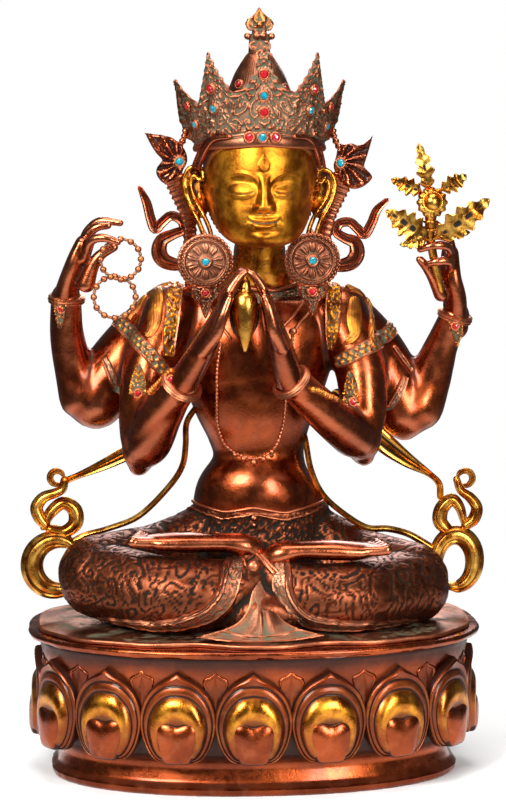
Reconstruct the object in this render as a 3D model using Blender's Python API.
# Four-armed Avalokiteshvara seated on a lotus throne: cast metal figure, crown,
# earrings, scarves, prayer beads, lotus and set stones.
# Metres, +Z up, the front faces -Y, and the origin is under the middle of the throne.

import math

import bmesh
import bpy
import numpy as np
from mathutils import Matrix, Vector

# Driving sizes of the throne
THRONE_WIDTH = 0.596
THRONE_FRONT = 0.186
THRONE_BACK = 0.165
FRONT_POWER = 2.15
BACK_POWER = 3.6
THRONE_HEIGHT = 0.193
FOOT_INSET = 0.038
FOOT_LIP = 0.011
FOOT_LIP_PROUD = 0.008
RIM_THICKNESS = 0.009
RIM_PROUD = 0.016
PETAL_COUNT = 16
PETAL_COLUMNS = 5
PETAL_SHIFT = -0.013
PETAL_FOOT = 0.052
PETAL_SHOULDER = 0.090
PETAL_TIP = 0.155
PETAL_POINT = 0.010
PETAL_DEPTH = 0.018
BOSS_DEPTH = 0.010
BETWEEN_TIP = 0.164

# Driving sizes of the figure. Its own points are in drawn units, measured from the middle
# of the seat to the finial's tip.
FIGURE_HEIGHT = 0.807
FINIAL = [
    (7, 10, 738, 13, 12), (7, 10, 752, 12, 11), (7, 10, 766, 17, 12), (7, 10, 775, 9.5, 8),
    (7, 10, 783, 16.5, 9), (7, 10, 793, 11, 6), (7, 10, 807, 1.5, 1.5),
]
UNIT = FIGURE_HEIGHT / FINIAL[-1][2]
PIECE_GAP = 0.0004
ROOM_GAP = 0.0008
SEAT = THRONE_HEIGHT + PIECE_GAP

# Stones
STONE_RADIUS = 0.0052
SMALL_STONE_RADIUS = 0.0042
STONE_HEIGHT = 0.0035
STONE_SOCKET = 1.12

# How finely the melted pieces are kept
FIGURE_VOXEL = 0.0028
RIBBON_VOXEL = 0.0018
SCARF_VOXEL = 0.0022
LOTUS_VOXEL = 0.0016
FIGURE_TRIANGLE_COUNT = 2400
RIBBON_TRIANGLE_COUNT = 300
SCARF_TRIANGLE_COUNT = 400
LOTUS_TRIANGLE_COUNT = 480

FRONT = Vector((0.0, -1.0, 0.0))
UP = Vector((0.0, 0.0, 1.0))


def clear_scene():
    for obj in list(bpy.data.objects):
        bpy.data.objects.remove(obj)


def material(name, colour, metallic, roughness):
    made = bpy.data.materials.new(name)
    made.use_nodes = True
    shader = made.node_tree.nodes["Principled BSDF"]
    shader.inputs["Base Color"].default_value = (*colour, 1.0)
    shader.inputs["Metallic"].default_value = metallic
    shader.inputs["Roughness"].default_value = roughness
    made.diffuse_color = (*colour, 1.0)
    return made


# Shapes are pairs of a list of points and a list of faces.


def joined(*shapes):
    """Several shapes as one, still overlapping."""
    points, faces = [], []
    for shape_points, shape_faces in shapes:
        start = len(points)
        points += list(shape_points)
        faces += [tuple(i + start for i in face) for face in shape_faces]
    return points, faces


def moved(shape, matrix):
    return [matrix @ Vector(p) for p in shape[0]], shape[1]


def lofted(rings):
    """A closed skin over rings of points that all have the same count."""
    count = len(rings[0])
    points = [p for ring in rings for p in ring]
    faces = []
    for r in range(len(rings) - 1):
        for i in range(count):
            j = (i + 1) % count
            a, b = r * count, (r + 1) * count
            faces.append((a + i, a + j, b + j, b + i))
    faces.append(tuple(range(count))[::-1])
    faces.append(tuple((len(rings) - 1) * count + i for i in range(count)))
    return points, faces


def smooth_path(stations, steps):
    """Catmull-Rom curve through the stations, with every value interpolated alike."""
    rows = np.array(stations, float)
    ends = np.vstack([2 * rows[0] - rows[1], rows, 2 * rows[-1] - rows[-2]])
    out = []
    for k in range(len(rows) - 1):
        a, b, c, d = ends[k : k + 4]
        for t in np.arange(steps) / steps:
            out.append(
                0.5 * (2 * b + (c - a) * t + (2 * a - 5 * b + 4 * c - d) * t * t
                       + (3 * b - a - 3 * c + d) * t ** 3)
            )
    out.append(rows[-1])
    return np.array(out)


def limb(stations, front=FRONT, sides=12, steps=3, round_ends=True, power=2.0):
    """A tube through stations of x, y, z, half-width and half-depth, in drawn units.
    The depth lies along front, and power above 2 squares the section."""
    path = smooth_path(stations, steps)
    centre = path[:, :3]
    tangent = np.gradient(centre, axis=0)
    tangent /= np.linalg.norm(tangent, axis=1)[:, None]
    rows = [(c, t, w, d) for c, t, w, d in zip(centre, tangent, path[:, 3], path[:, 4])]
    if round_ends:
        first, last = rows[0], rows[-1]
        for along, share in ((0.5, 0.87), (0.85, 0.53)):
            rows.insert(0, (first[0] - first[1] * first[3] * along, first[1],
                            first[2] * share, first[3] * share))
            rows.append((last[0] + last[1] * last[3] * along, last[1],
                         last[2] * share, last[3] * share))
    rings = []
    for c, t, w, d in rows:
        t = Vector(t)
        depth = (front - front.dot(t) * t).normalized()
        width = t.cross(depth)
        ring = []
        for k in range(sides):
            angle = 2 * math.pi * k / sides
            cu, su = math.cos(angle), math.sin(angle)
            cu = math.copysign(abs(cu) ** (2 / power), cu)
            su = math.copysign(abs(su) ** (2 / power), su)
            ring.append(Vector(c) + width * (w * cu) + depth * (d * su))
        rings.append(ring)
    return lofted(rings)


def ball(centre, radii, sides=10, rows=6):
    """An ellipsoid in drawn units."""
    rings = []
    for r in range(1, rows):
        polar = math.pi * r / rows
        rings.append([
            Vector((centre[0] + radii[0] * math.sin(polar) * math.cos(2 * math.pi * k / sides),
                    centre[1] + radii[1] * math.sin(polar) * math.sin(2 * math.pi * k / sides),
                    centre[2] - radii[2] * math.cos(polar)))
            for k in range(sides)
        ])
    return lofted(rings)


def band(stations, sides=8, steps=4, front=FRONT):
    """A flat band through stations of x, y, z, half-width and half-thickness."""
    return limb(stations, front, sides, steps, round_ends=False, power=3.0)


def turned(profile, sides):
    """A closed shape turned about Z from rows of radius and height, bottom to top."""
    rings = [
        [Vector((r * math.cos(2 * math.pi * k / sides), r * math.sin(2 * math.pi * k / sides), z))
         for k in range(sides)]
        for r, z in profile
    ]
    return lofted(rings)


def plate(outline, thickness):
    """An outline of x and z made a plate that is centred on y = 0."""
    return lofted([[Vector((x, y, z)) for x, z in outline]
                   for y in (thickness / 2, -thickness / 2)])


def facing(centre, normal, up=UP):
    """A placement that turns +Z to the normal and keeps +Y as near up as it can."""
    z = Vector(normal).normalized()
    x = Vector(up).cross(z).normalized()
    y = z.cross(x)
    turn = Matrix((x, y, z)).transposed().to_4x4()
    return Matrix.Translation(Vector(centre)) @ turn


def mesh_object(name, shape, finish, smooth_angle=0.7):
    mesh = bpy.data.meshes.new(name)
    mesh.from_pydata([tuple(p) for p in shape[0]], [], [tuple(f) for f in shape[1]])
    made = bmesh.new()
    made.from_mesh(mesh)
    bmesh.ops.remove_doubles(made, verts=made.verts, dist=1e-7)
    bmesh.ops.recalc_face_normals(made, faces=made.faces)
    made.to_mesh(mesh)
    made.free()
    mesh.materials.append(finish)
    mesh.shade_smooth()
    mesh.set_sharp_from_angle(angle=smooth_angle)
    obj = bpy.data.objects.new(name, mesh)
    bpy.context.scene.collection.objects.link(obj)
    return obj


def helper(obj):
    obj.hide_render = True
    obj.display_type = "WIRE"
    return obj


def seated(shape, scale=UNIT):
    """Drawn units, measured from the seat, made metres in the statue's frame."""
    return moved(shape, Matrix.Translation((0, 0, SEAT)) @ Matrix.Scale(scale, 4))


def cut_with(obj, cutter, operation="DIFFERENCE"):
    made = obj.modifiers.new("cut_" + cutter.name, "BOOLEAN")
    made.operation = operation
    made.object = cutter
    made.solver = "EXACT"
    return made


def fused(name, shape, finish, voxel, triangles, smoothing=2):
    """Overlapping shapes melted into one skin, then thinned to about that many triangles."""
    obj = mesh_object(name, shape, finish)
    remesh = obj.modifiers.new("melt", "REMESH")
    remesh.mode = "VOXEL"
    remesh.voxel_size = voxel
    if smoothing:
        smooth = obj.modifiers.new("ease", "SMOOTH")
        smooth.factor = 0.5
        smooth.iterations = smoothing
    graph = bpy.context.evaluated_depsgraph_get()
    melted = obj.evaluated_get(graph).to_mesh()
    melted.calc_loop_triangles()
    found = len(melted.loop_triangles)
    thin = obj.modifiers.new("thin", "DECIMATE")
    thin.ratio = min(1.0, triangles / found)
    thin.use_collapse_triangulate = True
    return obj


def grown_copy(obj, gap):
    """A hidden copy of an object, swollen by the gap, that cuts room for it."""
    copy = obj.copy()
    copy.name = obj.name + "_room"
    bpy.context.scene.collection.objects.link(copy)
    swell = copy.modifiers.new("swell", "DISPLACE")
    swell.strength = gap
    swell.mid_level = 0.0
    return helper(copy)


# The throne


def plan_point(angle, inset=0.0):
    """A point on the throne's plan: an ellipse in front, squarer and flatter behind."""
    c, s = math.cos(angle), math.sin(angle)
    behind = s > 0
    power = 2 / (BACK_POWER if behind else FRONT_POWER)
    depth = (THRONE_BACK if behind else THRONE_FRONT) - inset
    x = (THRONE_WIDTH / 2 - inset) * math.copysign(abs(c) ** power, c)
    return Vector((x, depth * math.copysign(abs(s) ** power, s), 0.0))


def plan_by_length(count, start=0.0, fine=1440):
    """Points and outward normals at equal lengths round the plan, from the front middle."""
    ring = [plan_point(2 * math.pi * k / fine - math.pi / 2) for k in range(fine + 1)]
    lengths = [0.0]
    for a, b in zip(ring, ring[1:]):
        lengths.append(lengths[-1] + (b - a).length)
    found = []
    for k in range(count):
        goal = ((k / count + start / lengths[-1]) % 1.0) * lengths[-1]
        i = min(fine - 1, int(np.searchsorted(lengths, goal)))
        tangent = (ring[(i + 6) % fine] - ring[(i - 6) % fine]).normalized()
        found.append((ring[i], Vector((tangent.y, -tangent.x, 0.0))))
    return found


def petal_top(u):
    """Height of a petal's rim at u, from -1 to 1 across the petal."""
    arch = math.sqrt(max(0.0, 1 - abs(u) ** 2.3))
    return PETAL_SHOULDER + (PETAL_TIP - PETAL_SHOULDER) * arch + PETAL_POINT * (1 - abs(u)) ** 3


def throne_column(u):
    """Heights and insets from the sole to the top, for a place u across a petal."""
    top = petal_top(u)
    span = top - PETAL_FOOT
    boss = BOSS_DEPTH * max(0.0, 1 - (abs(u) / 0.72) ** 2)
    edge = PETAL_DEPTH * (1 - abs(u) ** 4)
    between = max(0.0, (abs(u) - 0.45) / 0.55)
    wall = 0.7 * PETAL_DEPTH + BOSS_DEPTH
    return [
        (0.0, FOOT_INSET - 0.002),
        (FOOT_LIP, FOOT_INSET - FOOT_LIP_PROUD),
        (0.036, FOOT_INSET + 0.010),
        (PETAL_FOOT + 0.004, wall - edge * 0.5),
        (PETAL_FOOT + 0.22 * span, wall - edge * 0.6 - boss * 0.8),
        (PETAL_FOOT + 0.50 * span, wall - edge * 0.7 - boss),
        (PETAL_FOOT + 0.74 * span, wall - edge * 0.7),
        (top, wall - edge),
        (max(top + 0.004, BETWEEN_TIP * between), wall - 0.004 - 0.010 * between),
        (max(top + 0.010, BETWEEN_TIP + 0.006), wall - 0.003),
        (THRONE_HEIGHT - RIM_THICKNESS, RIM_PROUD),
        (THRONE_HEIGHT - RIM_THICKNESS * 0.9, 0.001),
        (THRONE_HEIGHT, 0.003),
    ]


def make_throne(finish):
    count = PETAL_COUNT * PETAL_COLUMNS
    columns = []
    for k, (point, normal) in enumerate(plan_by_length(count, PETAL_SHIFT)):
        step = k % PETAL_COLUMNS
        u = 2 * step / PETAL_COLUMNS
        u = u if u <= 1 else u - 2
        columns.append([point - normal * inset + UP * z for z, inset in throne_column(u)])
    rings = [[column[r] for column in columns] for r in range(len(columns[0]))]
    return mesh_object("throne", lofted(rings), finish, 0.5)


# The figure's parts, in drawn units from the seat

TORSO = [
    (6, 40, 20, 100, 80), (8, 38, 110, 100, 76), (9, 36, 137, 95, 70), (6, 31, 178, 82, 64),
    (8, 36, 215, 61, 50), (7, 37, 245, 66, 52), (5, 36, 282, 82, 60), (4, 36, 327, 98, 64),
    (4, 38, 377, 112, 62), (4, 42, 414, 116, 54), (5, 42, 440, 88, 44), (7, 32, 458, 52, 37),
    (8, 22, 474, 37, 34), (8, 12, 512, 31, 32),
]
HEAD = [
    (7, -44, 500, 22, 18), (7, -39, 505, 38, 32), (7, -31, 516, 52, 45), (7, -20, 535, 62, 59),
    (7, -9, 558, 68, 70), (7, -3, 585, 70.5, 77), (7, 0, 615, 70, 78), (7, 3, 650, 65, 71),
    (7, 6, 680, 50, 55), (7, 8, 700, 41, 42), (7, 9, 722, 33, 33), (7, 10, 740, 20, 20),
    (7, 10, 748, 12, 12),
]

# One entry for each side: -1 is the viewer's left.
RAISED_UPPER = {
    -1: [(-100, 58, 405, 46, 44), (-150, 62, 362, 46, 44), (-188, 58, 318, 45, 42),
         (-208, 52, 293, 40, 38)],
    1: [(108, 58, 405, 46, 44), (155, 62, 355, 47, 44), (186, 58, 308, 45, 42),
        (205, 52, 276, 40, 38)],
}
RAISED_LOWER = {
    -1: [(-207, 50, 276, 22, 22), (-219, 50, 298, 36, 34), (-234, 46, 333, 27, 26),
         (-244, 36, 380, 22.5, 23), (-245, 24, 430, 20, 21)],
    1: [(204, 50, 257, 22, 22), (218, 50, 280, 37, 34), (236, 46, 318, 30, 27),
        (253, 36, 368, 21.5, 23), (267, 24, 404, 19.5, 21)],
}
LOWERED_UPPER = {
    -1: [(-104, 32, 405, 42, 42), (-136, 4, 345, 35, 36), (-147, -14, 285, 31, 32),
         (-149, -20, 236, 26, 28)],
    1: [(112, 32, 405, 42, 42), (138, 4, 345, 35, 36), (142, -14, 290, 31, 32),
        (139, -20, 246, 26, 28)],
}
LOWERED_LOWER = {
    -1: [(-150, -16, 220, 16, 20), (-141, -30, 244, 30, 30), (-124, -56, 288, 29, 29),
         (-100, -86, 326, 23, 24)],
    1: [(140, -16, 230, 16, 20), (129, -30, 250, 28, 30), (94, -58, 281, 26.5, 28),
        (42, -88, 330, 22, 24)],
}
PRAYING_PALM = {
    -1: [(-99, -88, 328, 20, 23), (-77, -100, 366, 17, 26), (-60, -110, 400, 13, 28),
         (-51, -114, 420, 9.5, 27)],
    1: [(40, -90, 331, 19, 23), (27, -102, 370, 17, 26), (17, -110, 402, 13, 28),
        (11, -114, 422, 9.5, 27)],
}
PRAYING_FINGERS = {
    -1: [(-52, 415, 6.5), (-44, 440, 6), (-34, 458, 5.5), (-21, 472, 4)],
    1: [(12, 417, 6.5), (6, 440, 6), (-2, 458, 5.5), (-14, 472, 4)],
}
FINGER_DEPTHS = (-135, -121, -108, -96)
THIGH = {
    -1: [(-40, 50, 66, 62, 60), (-130, 24, 72, 58, 56), (-208, -14, 72, 53, 50)],
    1: [(50, 50, 66, 62, 60), (130, 24, 66, 58, 56), (206, -14, 58, 53, 50)],
}
SHIN = {
    -1: [(-206, -26, 66, 52, 50), (-124, -84, 56, 48, 50), (-50, -92, 60, 44, 44),
         (16, -84, 84, 22, 22)],
    1: [(204, -26, 52, 52, 50), (124, -86, 50, 48, 46), (60, -94, 56, 44, 42),
        (-10, -80, 92, 22, 22)],
}
FOOT = {
    -1: [(-12, -78, 116, 18, 15), (-40, -78, 123, 20, 13), (-90, -74, 122, 20, 13),
         (-128, -70, 122, 22, 12), (-150, -68, 124, 18, 9)],
    1: [(20, -88, 105, 19, 15), (46, -90, 114, 20, 13), (90, -86, 112, 21, 13),
        (130, -82, 110, 23, 12), (152, -80, 112, 18, 9)],
}
LAP = [(4, -30, 50, 76, 56), (4, -96, 34, 66, 40)]

# Raised hands: the palm, then each finger from its root to its tip.
HELD_BEADS_PALM = [
    (-245, 24, 430, 20, 16), (-240, 16, 452, 23, 14), (-230, 8, 478, 25, 13), (-220, 4, 503, 21, 11),
]
HELD_BEADS_FINGERS = [
    [(-222, 16, 500, 7, 7), (-216, 15, 519, 6.5, 6.5), (-200, 8, 531, 6, 6), (-174, 2, 529, 5, 5)],
    [(-224, 2, 500, 7, 7), (-216, -2, 514, 6.5, 6.5), (-205, -6, 524, 6, 6), (-191, -8, 526, 5, 5)],
    [(-217, -12, 498, 7, 7), (-210, -22, 508, 6, 6), (-196, -27, 511, 6, 6), (-178, -27, 506, 5, 5)],
    [(-217, -2, 455, 11, 11), (-210, -4, 474, 9, 9), (-200, -6, 488, 7.5, 7.5),
     (-182, -7, 498, 6, 6)],
]
HELD_LOTUS_PALM = [
    (267, 24, 404, 19, 15), (265, 14, 430, 20, 14), (258, 8, 456, 20, 13), (257, 4, 488, 13, 11),
]
HELD_LOTUS_FINGERS = [
    [(259, 8, 486, 7, 7), (256, 2, 505, 6.5, 6.5), (247, -4, 518, 6, 6), (234, -8, 529, 5, 5)],
    [(256, -4, 484, 7, 7), (250, -22, 498, 6.5, 6.5), (232, -28, 500, 6, 6), (214, -24, 495, 5, 5)],
    [(257, -2, 470, 7, 7), (252, -20, 478, 6.5, 6.5), (236, -24, 478, 6, 6), (226, -20, 476, 5, 5)],
    [(244, 6, 440, 9, 9), (233, -2, 456, 8, 8), (224, -8, 470, 7, 7), (215, -12, 481, 6, 6)],
]
EAR = {
    -1: [(-66, 4, 590, 12, 9), (-78, 4, 592, 13, 9), (-81, 4, 574, 13, 9), (-76, 0, 552, 11, 8),
         (-70, -8, 532, 9, 7), (-66, -22, 518, 8, 6), (-64, -34, 508, 8, 6)],
    1: [(80, 4, 588, 12, 9), (91, 4, 590, 13, 9), (94, 4, 572, 13, 9), (88, 0, 550, 11, 8),
        (80, -8, 532, 9, 7), (74, -22, 518, 8, 6), (72, -34, 508, 8, 6)],
}
BANGLES = [
    ((-244, 26, 429), (0.02, -0.2, 1.0), 22.5, 5), ((267, 25, 404), (0.3, -0.25, 1.0), 22, 5),
    ((-99, -87, 327), (0.5, -0.55, 0.85), 26, 5), ((41, -88, 330), (-0.62, -0.4, 0.75), 25, 5),
]
ARMLETS = {
    -1: [((-160, 62, 352), (-0.72, 0.0, -0.7), 49, 7)],
    1: [((158, 62, 350), (0.72, 0.0, -0.7), 49, 7)],
}


def ring_about(centre, axis, radius, half, sides=20):
    """A closed hoop of round section about an axis, in drawn units."""
    place = facing(centre, axis)
    rings = []
    for k in range(sides):
        a = 2 * math.pi * k / sides
        out = Vector((math.cos(a), math.sin(a), 0))
        rings.append([place @ (out * (radius + half * 0.8 * math.cos(t)) + UP * half * math.sin(t))
                      for t in (2 * math.pi * j / 6 for j in range(6))])
    points = [p for ring in rings for p in ring]
    faces = [(6 * i + j, 6 * i + (j + 1) % 6, 6 * ((i + 1) % sides) + (j + 1) % 6,
              6 * ((i + 1) % sides) + j) for i in range(sides) for j in range(6)]
    return points, faces


def hem(levels=((-0.5, 0.0), (6.0, 2.0), (10.0, 16.0))):
    """The skirt's hem, spread on the seat in shallow lobes."""
    rings = []
    for height, inset in levels:
        ring = []
        for k in range(72):
            angle = 2 * math.pi * k / 72
            p = plan_point(angle, 0.014) / UNIT
            front = max(0.0, -math.sin(angle))
            lobe = 4 * math.cos(angle * 14) * front
            valley = 14 * front * math.exp(-((abs(p.x) - 95) / 45) ** 2)
            shrink = 1 - (inset + lobe + valley) / 300
            ring.append(Vector((p.x * shrink, p.y * (shrink - (inset + valley) / 300), height)))
        rings.append(ring)
    return lofted(rings)


def face_parts():
    nose = limb([(7, -74, 590, 5, 6), (7, -80, 575, 6, 8), (7, -84, 556, 8.5, 9),
                 (7, -82, 549, 10, 8)], sides=10)
    lips = limb([(-9, -72, 534, 4, 5), (0, -77, 533, 5, 6), (7, -78, 533, 6, 6),
                 (14, -77, 533, 5, 6), (23, -72, 534, 4, 5)], front=FRONT, sides=8)
    chin = ball((7, -66, 514), (17, 14, 12))
    lids = [ball((7 + side * 31, -66, 574), (20, 12, 9)) for side in (-1, 1)]
    cheeks = [ball((7 + side * 34, -48, 548), (25, 24, 24)) for side in (-1, 1)]
    return [nose, lips, chin, *lids, *cheeks]


def hand_fingers(rows):
    return [limb(row, sides=8, steps=2) for row in rows]


def figure_shapes():
    shapes = [
        limb(TORSO, sides=24, steps=3),
        limb(HEAD, sides=24, steps=2),
        limb(FINIAL, sides=12, steps=2),
        ball((-10, 8, 768), (6, 6, 6)), ball((24, 8, 768), (6, 6, 6)),
        limb(LAP, front=UP, sides=14),
        hem(),
        limb(HELD_BEADS_PALM, front=Vector((1, -0.4, 0)), sides=12),
        limb(HELD_LOTUS_PALM, front=Vector((-1, -0.4, 0)), sides=12),
        *hand_fingers(HELD_BEADS_FINGERS),
        *hand_fingers(HELD_LOTUS_FINGERS),
        *face_parts(),
    ]
    for side in (-1, 1):
        shapes += [
            limb(RAISED_UPPER[side], sides=16),
            limb(RAISED_LOWER[side], sides=16),
            limb(LOWERED_UPPER[side], sides=16),
            limb(LOWERED_LOWER[side], sides=16),
            limb(PRAYING_PALM[side], sides=14),
            limb(THIGH[side], front=UP, sides=18),
            limb(SHIN[side], front=UP, sides=18),
            limb(FOOT[side], front=UP, sides=12),
            limb(EAR[side], front=Vector((0, -1, 0)), sides=8),
        ]
        for depth in FINGER_DEPTHS:
            row = [(x, depth + 6 * (z - 415) / 57, z, r, 6.3) for x, z, r in PRAYING_FINGERS[side]]
            shapes.append(limb(row, sides=8, steps=2))
        for toe in range(5):
            start = FOOT[side][-2]
            reach = 24 - 2.5 * toe
            y = start[1] - 16 + 8 * toe
            shapes.append(limb([(start[0], y, start[2], 5, 5),
                                (start[0] + side * reach, y, start[2] + 2, 4.5, 4.5)], front=UP, sides=6))
        shapes += [ring_about(*row) for row in ARMLETS[side]]
    shapes += [ring_about(*row) for row in BANGLES]
    return shapes


# The crown: a wall about the head with five pointed leaves, from angle, tip height, radius
CROWN_CENTRE = (7, 8)
CROWN_EDGE = [(96, 660, 104), (88, 715, 110), (62, 683, 92), (48, 748, 95), (26, 697, 90),
              (0, 750, 80)]
CROWN_LOW = (628, 620)
CROWN_LOW_RADIUS = (85, 84)
CROWN_BAND = (648, 630)
CROWN_WALL = 6.0
CROWN_COLUMNS = 3


def crown_profile():
    """Every column of the crown's edge from the viewer's left end to the right end."""
    half = [(-a, z, r) for a, z, r in CROWN_EDGE]
    corners = half + [(a, z, r) for a, z, r in CROWN_EDGE[-2::-1]]
    rows = []
    for one, two in zip(corners, corners[1:]):
        for k in range(CROWN_COLUMNS):
            t = k / CROWN_COLUMNS
            rows.append(tuple(p + (q - p) * t for p, q in zip(one, two)))
    rows.append(corners[-1])
    return rows


def between(pair, angle):
    """A value that runs from the crown's front to its ends."""
    return pair[0] + (pair[1] - pair[0]) * min(1.0, abs(angle) / CROWN_EDGE[0][0])


def crown_radius(angle, z, top, top_radius):
    """Radius of the crown's outer face at a height: upright band, then flaring leaves."""
    low, band_top = between(CROWN_LOW_RADIUS, angle), between(CROWN_BAND, angle)
    rise = max(0.0, (z - band_top) / (top - band_top))
    return low + (top_radius - low) * rise ** 0.8


def crown_point(angle, z):
    """A place on the crown's outer face in drawn units."""
    rows = crown_profile()
    angles = [row[0] for row in rows]
    top = float(np.interp(angle, angles, [row[1] for row in rows]))
    top_radius = float(np.interp(angle, angles, [row[2] for row in rows]))
    r = crown_radius(angle, z, top, top_radius)
    a = math.radians(angle)
    return Vector((CROWN_CENTRE[0] + r * math.sin(a), CROWN_CENTRE[1] - r * math.cos(a), z))


def make_crown(finish):
    rings = []
    for angle, top, top_radius in crown_profile():
        low, band_top = between(CROWN_LOW, angle), between(CROWN_BAND, angle)
        span, band = top - band_top, band_top - low
        outer = [(low, 0), (low + band * 0.2, 3), (low + band * 0.6, 3), (band_top, 0),
                 (band_top + span * 0.35, 1.5), (band_top + span * 0.75, 1), (top, -1)]
        inner = [(top - 1, -3.5), (band_top + span * 0.45, -CROWN_WALL), (low, -CROWN_WALL)]
        a = math.radians(angle)
        out = Vector((math.sin(a), -math.cos(a), 0))
        middle = Vector((*CROWN_CENTRE, 0))
        rings.append([middle + out * (crown_radius(angle, z, top, top_radius) + d) + UP * z
                      for z, d in outer + inner])
    return mesh_object("crown", seated(lofted(rings)), finish, 0.8)


# Ribbons beside the head: a pleated fan, a strap down to the shoulder, and a curling tail.
FAN_OUTLINE = {
    -1: [(-142, 646), (-116, 640), (-96, 628), (-88, 607), (-92, 592), (-110, 584), (-126, 599),
         (-121, 618)],
    1: [(154, 643), (142, 626), (112, 630), (103, 606), (108, 590), (134, 578), (154, 588),
        (146, 612)],
}
FAN_BAR = {-1: [(-96, 8, 628, 4, 4), (-91, 8, 638, 4, 4), (-89, 6, 647, 4, 4)],
           1: [(110, 8, 628, 4, 4), (105, 8, 638, 4, 4), (103, 6, 647, 4, 4)]}
STRAP = {
    -1: [(-106, 6, 592, 14, 4), (-95, 16, 565, 12, 4), (-84, 22, 530, 9, 4), (-82, 26, 490, 9, 4),
         (-80, 36, 446, 9, 5)],
    1: [(118, 6, 588, 14, 4), (108, 16, 562, 12, 4), (98, 22, 530, 9, 4), (92, 26, 490, 9, 4),
        (88, 36, 446, 9, 5)],
}
CURL = {
    -1: [(-147, 571, 3), (-140, 541, 6), (-134, 522, 6.5), (-124, 514, 6.5), (-117, 524, 6),
         (-111, 534, 6), (-100, 534, 6), (-95, 525, 6), (-101, 515, 6), (-114, 507, 7),
         (-122, 492, 8), (-116, 478, 8), (-96, 474, 7), (-82, 480, 6)],
    1: [(172, 556, 3), (160, 540, 6), (156, 520, 6.5), (147, 509, 6.5), (138, 518, 6),
        (130, 526, 6), (119, 526, 6), (113, 517, 6), (118, 507, 6), (131, 499, 7),
        (137, 484, 8), (128, 473, 8), (108, 471, 7), (94, 480, 6)],
}
CURL_DEPTH = 27
RIBBON_HALF_THICKNESS = 4.0


def flat_ribbon(route, depth, half_thickness=RIBBON_HALF_THICKNESS, steps=3, sides=8):
    """A ribbon lying in an upright plane, through rows of x, z and half-width."""
    rows = [(x, depth, z, half, half_thickness) for x, z, half in route]
    return band(rows, sides=sides, steps=steps)


def make_head_ribbon(side, name, finish):
    fan = moved(plate(FAN_OUTLINE[side], 9), Matrix.Translation((0, 4, 0)))
    shape = joined(fan, limb(FAN_BAR[side], sides=8), band(STRAP[side]),
                   flat_ribbon(CURL[side], CURL_DEPTH))
    return fused(name, seated(shape), finish, RIBBON_VOXEL, RIBBON_TRIANGLE_COUNT, 1)


# Earrings: a rosette disc with a beaded edge and a pointed pendant
EARRING = {-1: (-66, -42, 481), 1: (72, -42, 482)}
EARRING_RADIUS = 36
EARRING_SIDES = 24
PENDANT = [(-19, -31), (-17, -45), (-9, -53), (0, -73), (9, -53), (17, -45), (19, -31)]


def make_earring(side, name, finish):
    profile = [(EARRING_RADIUS - 2, -4, 1.5), (EARRING_RADIUS - 2, 2, 1.5), (28.5, 4.5, 0), (24, 2, 0),
               (12, 3.2, 0), (8, 6, 0)]
    rings = []
    for r, depth, scallop in profile:
        ring = []
        for k in range(EARRING_SIDES):
            a = 2 * math.pi * k / EARRING_SIDES
            rr = r + scallop * (1 if k % 2 else -1)
            ring.append(Vector((rr * math.cos(a), -depth, rr * math.sin(a))))
        rings.append(ring)
    disc = lofted(rings)
    place = Matrix.Translation(EARRING[side])
    earring = mesh_object(name, seated(moved(disc, place)), finish)
    pendant = moved(plate(PENDANT, 7), place @ Matrix.Translation((0, 0.4, 0)))
    cutter = helper(mesh_object(name + "_pendant", seated(pendant), finish))
    cut_with(earring, cutter, "UNION")
    return earring


# Prayer beads: two loops of a bead string, one hanging from the other
BEAD_LOOPS = [((-174, -17, 483), 26), ((-182, -14, 434), 27)]
BEAD_COUNT = 12
BEAD_RADIUS = 4.3
STRING_RADIUS = 2.0


def bead_string(centre, radius):
    """A hoop in an upright plane whose thickness swells into beads."""
    steps, sides = BEAD_COUNT * 3, 5
    points = []
    for k in range(steps):
        a = 2 * math.pi * k / steps
        out = Vector((math.cos(a), 0, math.sin(a)))
        half = (BEAD_RADIUS, STRING_RADIUS, STRING_RADIUS)[k % 3]
        for j in range(sides):
            t = 2 * math.pi * j / sides
            points.append(Vector(centre) + out * (radius + half * math.cos(t))
                          + FRONT * (half * math.sin(t)))
    faces = [(sides * i + j, sides * i + (j + 1) % sides,
              sides * ((i + 1) % steps) + (j + 1) % sides, sides * ((i + 1) % steps) + j)
             for i in range(steps) for j in range(sides)]
    return points, faces


def make_beads(finish):
    upper, lower = [bead_string(centre, radius) for centre, radius in BEAD_LOOPS]
    beads = mesh_object("prayer_beads", seated(upper), finish)
    cut_with(beads, helper(mesh_object("lower_loop", seated(lower), finish)), "UNION")
    return beads


# The lotus in the raised hand: root, tip, half-width of each leaf, then the boss and stem
LOTUS_BOSS = (227, -42, 558)
LOTUS_LEAVES = [
    ((223, -38, 570), (209, -40, 632), 12), ((216, -38, 570), (176, -40, 586), 11),
    ((236, -38, 572), (271, -40, 590), 11), ((224, -30, 508), (170, -38, 546), 17),
    ((230, -30, 508), (302, -38, 559), 17), ((224, -32, 506), (187, -36, 502), 9),
    ((230, -32, 514), (277, -36, 517), 9),
]
LOTUS_STEM = [(227, -38, 552, 9, 8), (226, -30, 528, 7, 6), (228, -22, 505, 6, 6),
              (234, -15, 478, 5.5, 5.5), (241, -10, 452, 5, 5), (244, -6, 440, 4, 4)]


def leaf(root, tip, half, half_thickness=3.2):
    """A flat leaf, widest near the middle and pointed at the tip."""
    root, tip = Vector(root), Vector(tip)
    rows = []
    for t, w in ((0, 0.45), (0.25, 0.95), (0.5, 1.0), (0.75, 0.62), (0.93, 0.25), (1.0, 0.12)):
        p = root.lerp(tip, t)
        rows.append((*p, max(1.6, half * w), half_thickness * (0.5 + 0.5 * w)))
    return band(rows, sides=8, steps=2)


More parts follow.
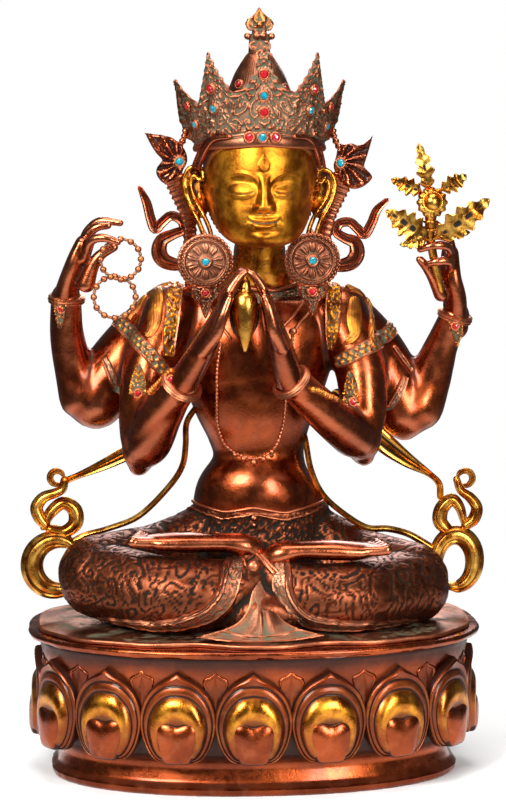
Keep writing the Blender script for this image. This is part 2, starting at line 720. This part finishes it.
def make_lotus(finish):
    ruffle = []
    for k in range(12):
        a = 2 * math.pi * k / 12
        x, y, z = LOTUS_BOSS
        ruffle.append(ball((x + 17 * math.cos(a), y + 5, z + 17 * math.sin(a)), (6.5, 5, 6.5), 8, 5))
    shape = joined(ball(LOTUS_BOSS, (12.5, 11, 12.5)), *ruffle,
                   ball((227, -36, 558), (18, 5, 18), 12, 5),
                   limb(LOTUS_STEM, sides=8), *[leaf(*row) for row in LOTUS_LEAVES])
    return fused("lotus_flower", seated(shape), finish, LOTUS_VOXEL, LOTUS_TRIANGLE_COUNT, 1)


# The jewel between the palms, turned about an upright line
JEWEL_PLACE = (-20, -118)
JEWEL_PROFILE = [(2, 371), (8, 387), (14, 411), (16.5, 430), (14, 442), (6, 449), (7, 456), (4, 468)]


def make_jewel(finish):
    shape = moved(turned(JEWEL_PROFILE, 10), Matrix.Translation((*JEWEL_PLACE, 0)))
    return mesh_object("jewel", seated(shape), finish)


# Scarves: a streamer from behind the elbow, an inner ribbon and a standing scroll
STREAMER = {
    -1: [(-128, 36, 262, 10, 5), (-152, 40, 232, 11, 5), (-180, 40, 216, 9, 5),
         (-208, 40, 203, 6.5, 4), (-230, 40, 194, 4, 3.5), (-247, 40, 187, 4.5, 4)],
    1: [(108, 36, 300, 9, 5), (142, 40, 268, 12, 5), (174, 40, 236, 14, 5), (206, 40, 211, 10, 5),
        (236, 40, 192, 4, 4), (250, 40, 178, 4, 4), (252, 40, 160, 4.5, 4)],
}
INNER_RIBBON = {
    -1: [(-72, 34, 288, 4, 3.5), (-88, 16, 266, 4, 3.5), (-90, 6, 237, 4, 3.5), (-95, 4, 209, 4, 3.5),
         (-114, 8, 180, 4, 3.5), (-151, 20, 142, 4, 3.5), (-190, 32, 124, 4, 3.5),
         (-222, 40, 114, 4, 3.5), (-240, 40, 104, 5, 4)],
    1: [(62, 34, 262, 4, 3.5), (68, 16, 244, 4, 3.5), (75, 6, 204, 4, 3.5), (91, 6, 170, 4, 3.5),
        (121, 14, 142, 4, 3.5), (152, 24, 122, 4.5, 3.5), (181, 32, 119, 4.5, 3.5),
        (210, 40, 110, 4.5, 3.5), (240, 40, 92, 5, 4)],
}
SCROLL_S = {
    -1: [(-249, 187, 5.5), (-252, 176, 6), (-261, 171, 6.5), (-277, 165, 7.7), (-286, 152, 8.5),
         (-282, 138, 8.5), (-275, 129, 7)],
    1: [(274, 182, 5), (279, 169, 5.5), (292, 159, 7), (301, 145, 8), (297, 130, 8.5), (287, 122, 7)],
}
SCROLL_LOOP = {
    -1: [(-276, 128, 5), (-267, 145, 8), (-251, 157, 9), (-236, 148, 10), (-235, 130, 10),
         (-249, 119, 8.6), (-267, 122, 7)],
    1: [(284, 127, 5), (278, 146, 7), (267, 156, 9), (254, 144, 10), (252, 127, 10), (262, 115, 8)],
}
SPIRAL = {-1: ((-259, 191), 9, 10, 300), 1: ((285, 185), 10, 170, -120)}
RING = {-1: ((-260, 74), 33, 34, 15, 52, 300), 1: ((273, 73), 26, 35, 13.5, -100, 205)}
SCROLL_DEPTH = 40
SCROLL_HALF_THICKNESS = 9


def arc_route(centre, radius_x, radius_z, half, start, end, count=11):
    return [(centre[0] + radius_x * math.cos(a), centre[1] + radius_z * math.sin(a), half)
            for a in np.radians(np.linspace(start, end, count))]


def spiral_route(centre, radius, start, end, count=9):
    """A ribbon curling in to its eye."""
    rows = []
    for t, a in zip(np.linspace(1, 0, count), np.radians(np.linspace(start, end, count))):
        r = radius * (0.3 + 0.7 * t)
        rows.append((centre[0] + r * math.cos(a), centre[1] + r * math.sin(a), 3 + 1.5 * t))
    return rows


def make_scarf(side, name, finish):
    centre, radius, start, end = SPIRAL[side]
    ring_centre, rx, rz, half, ring_start, ring_end = RING[side]
    shape = joined(
        band(STREAMER[side]), band(INNER_RIBBON[side]),
        flat_ribbon(SCROLL_S[side], SCROLL_DEPTH - 2, SCROLL_HALF_THICKNESS - 2),
        flat_ribbon(SCROLL_LOOP[side], SCROLL_DEPTH, SCROLL_HALF_THICKNESS - 1),
        flat_ribbon(spiral_route(centre, radius, start, end), SCROLL_DEPTH, 6, 2),
        flat_ribbon(arc_route(ring_centre, rx, rz, half, ring_start, ring_end), SCROLL_DEPTH,
                    SCROLL_HALF_THICKNESS, 2),
    )
    return fused(name, seated(shape), finish, SCARF_VOXEL, SCARF_TRIANGLE_COUNT, 1)


# Set stones. Each is a low dome with a flat back.
CROWN_STONES = {
    "crown_red": [(0, 719), (0, 671), (-12.5, 640), (9.5, 640), (-46, 701), (45.5, 700), (-74, 679),
                  (69, 678)],
    "crown_blue": [(0, 692), (-1.5, 640), (-44, 676), (42.5, 674), (-68, 656), (68, 653)],
}
FIGURE_STONES = {
    "topknot_red": [(-22, 707), (39, 702)],
    "wrist_red": [(-251, 417), (265, 392)],
    "armlet_red": [(-153, 311), (126, 298), (-112, 335)],
}
FAN_STONES = {-1: (-97, 608), 1: (112, 606)}


def dome(radius, height, sides=6):
    rings = [[Vector((r * math.cos(2 * math.pi * k / sides), r * math.sin(2 * math.pi * k / sides), z))
              for k in range(sides)]
             for r, z in ((radius, 0.0), (radius * 0.62, height))]
    return lofted(rings)


def make_stone(name, point, normal, finish, radius=STONE_RADIUS):
    """A stone whose flat back stands a hair off its seat."""
    place = facing(Vector(point) + Vector(normal).normalized() * PIECE_GAP, normal)
    return mesh_object(name, moved(dome(radius, STONE_HEIGHT), place), finish, 0.4)


def in_frame(point):
    return Vector(point) * UNIT + UP * SEAT


def make_crown_stones(finishes):
    for kind, places in CROWN_STONES.items():
        for k, (angle, z) in enumerate(places):
            here = crown_point(angle, z)
            across = crown_point(angle + 2, z) - crown_point(angle - 2, z)
            along = crown_point(angle, z + 4) - crown_point(angle, z - 4)
            normal = across.cross(along).normalized()
            proud = 3.6 if z < CROWN_BAND[0] else 2.2
            seat = in_frame(here + normal * proud)
            make_stone(f"{kind}_{k + 1}", seat, normal, finishes[kind])


def surface_hit(obj, x, z):
    """Where a line from the front meets an object, and which way the surface faces."""
    graph = bpy.context.evaluated_depsgraph_get()
    seen = obj.evaluated_get(graph)
    start = in_frame((x, -600, z))
    hit, place, normal, _ = seen.ray_cast(start, Vector((0, 1, 0)))
    assert hit, (obj.name, x, z)
    return place, (normal + FRONT * 0.8).normalized()


def make_figure_stones(figure, finishes):
    """Stones let into the figure, each over its own shallow socket."""
    seats = []
    for kind, places in FIGURE_STONES.items():
        for k, (x, z) in enumerate(places):
            place, normal = surface_hit(figure, x, z)
            seats.append((f"{kind}_{k + 1}", place, normal, finishes[kind]))
    sockets = []
    for name, place, normal, finish in seats:
        make_stone(name, place, normal, finish, SMALL_STONE_RADIUS)
        reach = SMALL_STONE_RADIUS * STONE_SOCKET
        socket = turned([(reach, 0.0), (reach, 0.02)], 12)
        sockets.append(moved(socket, facing(place, normal)))
    cutter = helper(mesh_object("sockets", joined(*sockets), seats[0][3]))
    cut_with(figure, cutter)


def make_figure(finish):
    figure = fused("figure", seated(joined(*figure_shapes())), finish, FIGURE_VOXEL, FIGURE_TRIANGLE_COUNT)
    size = THRONE_WIDTH * 2
    bpy.ops.mesh.primitive_cube_add(size=size, location=(0, 0, SEAT - size / 2))
    floor = helper(bpy.context.object)
    floor.name = "seat_plane"
    cut_with(figure, floor)
    return figure


def main():
    clear_scene()
    copper = material("copper_brown", (0.30, 0.10, 0.045), 0.9, 0.35)
    gilt = material("gilt_brass", (0.72, 0.45, 0.10), 1.0, 0.28)
    trim = material("aged_copper", (0.30, 0.16, 0.11), 0.85, 0.5)
    turquoise = material("turquoise_stone", (0.02, 0.30, 0.42), 0.0, 0.2)
    coral = material("coral_stone", (0.55, 0.02, 0.03), 0.0, 0.2)
    stones = {"crown_red": coral, "crown_blue": turquoise, "topknot_red": coral, "wrist_red": coral,
              "armlet_red": coral}
    make_throne(copper)
    figure = make_figure(copper)
    crown = make_crown(trim)
    held = [crown, make_jewel(gilt), make_lotus(gilt), make_beads(trim)]
    for side, word in ((-1, "left"), (1, "right")):
        ribbon = make_head_ribbon(side, "head_ribbon_" + word, trim)
        cut_with(ribbon, grown_copy(crown, ROOM_GAP))
        earring = make_earring(side, "earring_" + word, trim)
        scarf = make_scarf(side, "scarf_" + word, gilt)
        held += [ribbon, earring, scarf]
        x, y, z = EARRING[side]
        make_stone("earring_blue_" + word, in_frame((x, y - 6, z)), FRONT, turquoise)
        make_stone("pendant_red_" + word, in_frame((x, y - 3.1, z - 40)), FRONT, coral,
                   SMALL_STONE_RADIUS)
        fx, fz = FAN_STONES[side]
        make_stone("fan_blue_" + word, in_frame((fx, -0.5, fz)), FRONT, turquoise)
    for obj in held:
        cut_with(figure, grown_copy(obj, ROOM_GAP))
    make_crown_stones(stones)
    make_figure_stones(figure, stones)


main()
